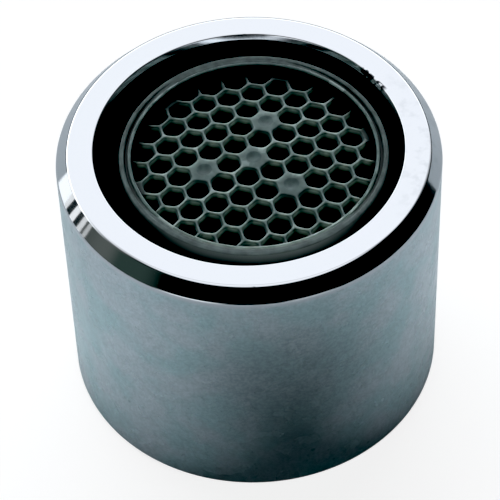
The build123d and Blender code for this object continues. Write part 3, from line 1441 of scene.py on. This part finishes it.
@dataclass
class OutletHoneycomb(Piece):
    """The stream straightener in the outlet: a crowned face of small cells in a round rim."""

    node = Node.HONEYCOMB
    slot = Slot.DARK_PLASTIC
    name = "honeycomb"
    base_height: float
    step_height: float = 17.97
    rim_radius: float = 7.819
    rim_wall: float = 0.2
    rim_round: float = 0.07
    rim_step: float = 0.06
    rim_gap: float = 0.02
    face_recess: float = 0.42
    face_crown: float = 0.45
    cell_pitch: float = 1.6
    cell_wall: float = 0.24
    cell_turn: float = 15.0
    cell_margin: float = 0.2
    cell_corner: float = 0.5
    cell_edge: float = 0.11
    cell_edge_drop: float = 0.42
    cell_points: int = 30
    cut_step: float = 0.0131
    edge_steps: int = 6
    closed_steps: int = 2
    closed_bearings: tuple[float, ...] = (60.0, 180.0, 300.0)
    dimple_radius: float = 0.5
    dimple_depth: float = 0.1
    dimple_rings: tuple[float, ...] = (1.0, 0.85, 0.6, 0.3)
    dimple_power: float = 1.5
    post_radius: float = 0.4
    post_bevel: float = 0.06
    post_taper: float = 0.85
    round_points: int = 24
    segments: int = 180

    @property
    def mouth_radius(self) -> float:
        """Radius of the opening inside the rim."""
        return self.rim_radius - self.rim_wall

    @property
    def crown_ball(self) -> float:
        """Radius of the ball that the crowned face is part of."""
        return (self.mouth_radius**2 + self.face_crown**2) / (2 * self.face_crown)

    def material(self) -> Material:
        """Dark plastic with painted highlights on its edges and painted shade inside its cells.

        Returns:
            The material.
        """
        return DeepPlasticFinish(
            self.slot,
            deep=(0.068, 0.098, 0.092),
            light=(0.12, 0.17, 0.16),
            depth_of_light=1.0,
            # Painted highlights on the edges of the cells.
            painted_edge_highlight=(0.29, 0.355, 0.335),
            axis_x=self.solid.axis_x,
            face_height=self.crown_height(0.0),
            face_bend=0.5 / self.crown_ball,
            mouth_radius=self.mouth_radius,
            rim_height=self.solid.high,
        ).material()

    def crown_height(self, distance: float) -> float:
        """Height of the crowned face at a distance from the axis."""
        ball = self.crown_ball
        return self.solid.high - self.face_recess - ball + sqrt(ball**2 - distance**2)

    def on_crown(self, outline: list[Point], drop: float) -> Ring:
        """The outline, laid that far below the crowned face."""
        return outline, [self.crown_height(hypot(x, y)) - drop for x, y in outline]

    def turned(self, x: float, y: float) -> Point:
        """A point of the pattern, turned as the insert is."""
        bearing = radians(self.cell_turn)
        return x * cos(bearing) - y * sin(bearing), x * sin(bearing) + y * cos(bearing)

    def closed_places(self) -> list[Point]:
        """Centres of the filled cells.

        Returns:
            The one on the axis, and those round it.
        """
        distance = self.closed_steps * self.cell_pitch
        ring = [on_circle(distance, bearing) for bearing in self.closed_bearings]
        return [self.turned(x, y) for x, y in [(0.0, 0.0), *ring]]

    def open_places(self) -> list[Point]:
        """Centres of the open cells.

        Returns:
            The centres, row by row.
        """
        closed = self.closed_places()
        reach = int(self.mouth_radius / self.cell_pitch) + 2
        places = []
        for row in range(-reach, reach + 1):
            for column in range(-2 * reach, 2 * reach + 1):
                x = self.cell_pitch * (column + row / 2)
                place = self.turned(x, self.cell_pitch * row * sqrt(3) / 2)
                is_open = min(dist(place, other) for other in closed) > self.cell_pitch / 2
                if is_open and hypot(*place) <= self.mouth_radius - self.cell_margin:
                    places.append(place)
        return places

    def cell_outline(self, place: Point) -> list[Point]:
        """The outline of a cell, with soft corners, cut off where it meets the rim.

        Args:
            place: Its centre.

        Returns:
            The outline's points, anticlockwise.
        """
        across = (self.cell_pitch - self.cell_wall) / 2 / cos(radians(30))
        spokes = [on_circle(across, 30 + 60 * i + self.cell_turn) for i in range(6)]
        outline = [(place[0] + x, place[1] + y) for x, y in spokes]
        limit = self.mouth_radius - self.rim_step
        if any(hypot(*corner) >= limit for corner in outline):
            outline = [kept_inside(point, limit) for point in divided(outline, self.cut_step)]
        return softened(outline, self.cell_corner, self.cell_points)

    def cell_rings(self, place: Point) -> list[Ring]:
        """The wall of one cell, with a rounded edge at the face.

        Args:
            place: Its centre.

        Returns:
            Its rings, from the face to the back.
        """
        outline = self.cell_outline(place)
        rings = []
        for step in range(self.edge_steps + 1):
            angle = pi / 2 * step / self.edge_steps
            wide = widened(outline, self.cell_edge * (1 - sin(angle)))
            ring = [kept_inside(point, self.mouth_radius - self.rim_gap) for point in wide]
            rings.append(self.on_crown(ring, self.cell_edge_drop * (1 - cos(angle))))
        return [*rings, (outline, [self.base_height] * len(outline))]

    def add_dimple(self, draft: MeshDraft, place: Point) -> list[int]:
        """Adds the shallow hollow of a filled cell.

        Args:
            draft: The mesh.
            place: Its centre.

        Returns:
            The points round it.
        """
        rings = []
        for share in self.dimple_rings:
            ring = circle(place, self.dimple_radius * share, self.round_points)
            rings.append(self.on_crown(ring, self.dimple_depth * (1 - share**2) ** self.dimple_power))
        rows = draft.add_tube(rings)
        draft.faces.append(tuple(rows[-1]))
        return rows[0]

    def add_post(self, draft: MeshDraft, place: Point) -> list[int]:
        """Adds the post behind a filled cell.

        Args:
            draft: The mesh.
            place: Its centre.

        Returns:
            The points round its root.
        """
        end = self.solid.low
        rings = []
        levels = ((self.post_taper, end), (1.0, end + self.post_bevel), (1.0, self.base_height))
        for share, height in levels:
            ring = circle(place, self.post_radius * share, self.round_points)
            rings.append((ring, [height] * len(ring)))
        rows = draft.add_tube(rings)
        draft.faces.append(tuple(rows[0][::-1]))
        return rows[-1]

    def rim_outline(self) -> list[Point]:
        """The outline of the rim.

        Returns:
            Its points, from its root outside to its root in the mouth.
        """
        top = self.solid.high
        corners = [
            Corner(self.solid.radius, self.base_height, 0),
            Corner(self.solid.radius, self.step_height),
            Corner(self.rim_radius, self.step_height),
            Corner(self.rim_radius, top, self.rim_round),
            Corner(self.mouth_radius, top, self.rim_round),
            Corner(self.mouth_radius, self.crown_height(self.mouth_radius), 0),
        ]
        return supported(rounded_outline(corners), closed=False)

    def draft(self) -> MeshDraft:
        """The mesh of the honeycomb.

        Returns:
            The mesh.
        """
        draft = MeshDraft()
        rim = draft.turn(self.rim_outline(), self.segments)
        draft.bridge_all(rim, closed=False)
        cells = [draft.add_tube(self.cell_rings(place)) for place in self.open_places()]
        dimples = [self.add_dimple(draft, place) for place in self.closed_places()]
        posts = [self.add_post(draft, place) for place in self.closed_places()]
        draft.fill(rim[-1], [cell[0] for cell in cells] + dimples, upward=True)
        draft.fill(rim[0], [cell[-1] for cell in cells] + posts, upward=False)
        draft.points = [(x + self.solid.axis_x, y, z) for x, y, z in draft.points]
        return draft


@dataclass
class InnerStack:
    """The pieces inside the insert, whose solids keep their shape."""

    nodes: tuple[Node, ...] = (Node.SECOND_GRID, Node.FIRST_GRID, Node.JET_PLATE, Node.STRAINER)
    deep: Colour = (0.64, 0.65, 0.63)
    light: Colour = (0.74, 0.75, 0.73)

    def dress(self) -> list[bpy.types.Object]:
        """Gives the solids their plastic.

        Returns:
            The pieces.
        """
        material = PlasticFinish(Slot.PALE_PLASTIC, self.deep, self.light).material()
        pieces = [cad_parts[node.value] for node in self.nodes]
        for piece in pieces:
            piece.data.materials.clear()
            piece.data.materials.append(material)
        return pieces


@dataclass
class Studio:
    """The floor, the light and the camera."""

    object_height: float
    floor_radius: float = 2000.0
    floor_gap: float = 0.02
    floor_points: int = 96
    room_light: Colour = (0.004, 0.005, 0.005)
    sky_patches: tuple[SkyPatch, ...] = (
        SkyPatch((0.06, 0.086, 0.075), 111.0, 14.0, 8.0, -4.0, 44.0, 14.0),
        SkyPatch((0.17, 0.185, 0.172), 92.0, 9.0, 6.0, -4.0, 44.0, 14.0),
        SkyPatch((0.03, 0.036, 0.04), 10.0, 70.0, 25.0, -8.0, 62.0, 12.0),
        SkyPatch((1.44, 1.46, 1.52), 0.0, 180.0, 1.0, 64.0, ZENITH, 6.0),
        SkyPatch((1.54, 1.56, 1.62), 14.0, 60.0, 24.0, 18.0, 62.0, 7.0),
        SkyPatch((3.0, 3.1, 3.2), 26.0, 50.0, 20.0, 15.0, 33.0, 5.0),
        SkyPatch((1.7, 1.75, 1.8), 148.0, 13.0, 8.0, -8.0, 14.0, 7.0),
        SkyPatch((0.8, 0.83, 0.87), 208.0, 9.0, 7.0, -8.0, 14.0, 7.0),
    )
    fill_light: Colour = (0.026, 0.031, 0.034)
    key_strength: float = 3.85
    key_colour: Colour = (0.88, 0.94, 1.0)
    key_bearing: float = 13.0
    key_elevation: float = 34.0
    key_spread: float = 80.0
    background: Colour = (0.86, 0.87, 0.87)
    panels: tuple[LightPanel, ...] = (
        LightPanel(48.9, 92.9, 1.2),
        LightPanel(29.6, 39.0, 1.4),
        LightPanel(13.7, 21.1, 1.1),
        LightPanel(4.1, 9.8, 0.7),
    )
    panel_distance: float = 150.0
    panel_height: float = 60.0
    panel_gap: float = 0.5
    black_level: Colour = (0.014, 0.011, 0.011)
    camera_elevation: float = 47.53
    camera_distance: float = 162.205
    camera_roll: float = -2.154
    look_x: float = -0.1484
    look_depth: float = 9.9965
    focal_pixels: float = 2624.07
    frame_pixels: int = 500
    sensor_width: float = 36.0

    def lay_floor(self) -> None:
        """Lays the floor."""
        draft = MeshDraft()
        rim = circle((0.0, 0.0), self.floor_radius, self.floor_points)
        draft.faces.append(tuple(draft.add_loop(rim, [-self.floor_gap] * len(rim))))
        floor = draft.to_piece("floor")
        floor.data.materials.append(FloorFinish().material())
        floor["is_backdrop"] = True

    def light_sky(self) -> None:
        """Makes the light that smooth surfaces mirror: a wide low window behind, in a dark room."""
        sheet = SkySheet("soft_light")
        first, *others = self.sky_patches
        light = sheet.blend(sheet.patch(first), self.room_light, first.light)
        for patch in others:
            light = sheet.blend(sheet.patch(patch), light, patch.light)
        sheet.finish(light, self.fill_light, self.background)
        bpy.context.scene.world = sheet.world

    def hang(
        self, name: str, kind: LightKind, towards: Vector, **settings: object
    ) -> bpy.types.Object:
        """Hangs a light.

        Args:
            name: Its name.
            kind: Its kind.
            towards: The direction that it shines from.
            settings: Its other properties.

        Returns:
            The light.
        """
        data = bpy.data.lights.new(name, kind.value)
        for key, value in settings.items():
            setattr(data, key, value)
        light = bpy.data.objects.new(name, data)
        light.rotation_euler = towards.to_track_quat("Z", "Y").to_euler()
        bpy.context.scene.collection.objects.link(light)
        return light

    def hang_key(self) -> None:
        """Hangs the wide soft light behind the object, for the dull surfaces."""
        aside = radians(self.key_bearing)
        up = radians(self.key_elevation)
        towards = Vector((-sin(aside) * cos(up), cos(aside) * cos(up), sin(up)))
        light = self.hang(
            "soft_key",
            LightKind.FAR,
            towards,
            energy=self.key_strength,
            color=self.key_colour,
            angle=radians(self.key_spread),
        )
        light.visible_glossy = False

    def hang_panels(self) -> None:
        """Hangs the upright light panels at the left, which show in the bevel of the outlet."""
        tall = self.panel_height
        for panel in self.panels:
            width = panel.end - panel.start
            light = self.hang(
                "panel",
                LightKind.PANEL,
                Vector((-1, 0, 0)),
                shape="RECTANGLE",
                size=width * MM,
                size_y=tall * MM,
                energy=panel.light * pi * width * tall * MM * MM,
            )
            light.visible_camera = False
            light.visible_diffuse = False
            place = (-self.panel_distance, panel.start + width / 2, tall / 2 + self.panel_gap)
            light.location = Vector(place) * MM

    def set_tone(self) -> None:
        """Sets the contrast of the picture: its deepest shades fall to black."""
        view = bpy.context.scene.view_settings
        view.view_transform = "Standard"
        view.use_curve_mapping = True
        view.curve_mapping.black_level = self.black_level
        view.curve_mapping.update()

    def set_camera(self) -> None:
        """Sets the camera at the photograph's viewing angle."""
        up = radians(self.camera_elevation)
        roll = radians(self.camera_roll)
        stand = Vector((0, -cos(up), sin(up))) * self.camera_distance
        ahead = (Vector((self.look_x, 0, -self.look_depth)) - stand).normalized()
        level = ahead.cross(Vector((0, 0, 1))).normalized()
        upright = level.cross(ahead)
        right = cos(roll) * level + sin(roll) * upright
        top = cos(roll) * upright - sin(roll) * level
        data = bpy.data.cameras.new("camera")
        data.sensor_fit = "HORIZONTAL"
        data.sensor_width = self.sensor_width
        data.lens = self.focal_pixels / self.frame_pixels * self.sensor_width
        data.clip_start = 1 * MM
        data.clip_end = 100.0
        camera = bpy.data.objects.new("camera", data)
        turn = Matrix((right, top, -ahead)).transposed().to_4x4()
        place = (stand + Vector((0, 0, self.object_height))) * MM
        camera.matrix_world = Matrix.Translation(place) @ turn
        bpy.context.scene.collection.objects.link(camera)
        bpy.context.scene.camera = camera


def write_sizes() -> None:
    """Works out the box of the solids and the box of the dressed model."""
    boxes = {"cad": CAD_BOX, "visual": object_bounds()}
    sizes = {name: [list(low), list(high)] for name, (low, high) in boxes.items()}


def main() -> None:
    """Builds the pieces, the floor, the light and the camera."""
    logging.basicConfig(level=logging.INFO, format="%(name)s: %(message)s")
    washer = SealingWasher()
    sleeve = InsertSleeve()
    housing = Housing(washer.solid.low, sleeve.solid.low + sleeve.flange_thickness)
    honeycomb = OutletHoneycomb(Envelope.of(Node.SECOND_GRID).high)
    pieces = [piece.build() for piece in (housing, washer, sleeve, honeycomb)]
    pieces += InnerStack().dress()
    for piece in pieces:
        log.info("%s: %d faces", piece.name, len(piece.data.polygons))
    studio = Studio(housing.solid.high)
    studio.lay_floor()
    studio.light_sky()
    studio.hang_key()
    studio.hang_panels()
    studio.set_camera()
    studio.set_tone()
    write_sizes()


if __name__ == "__main__":
    main()
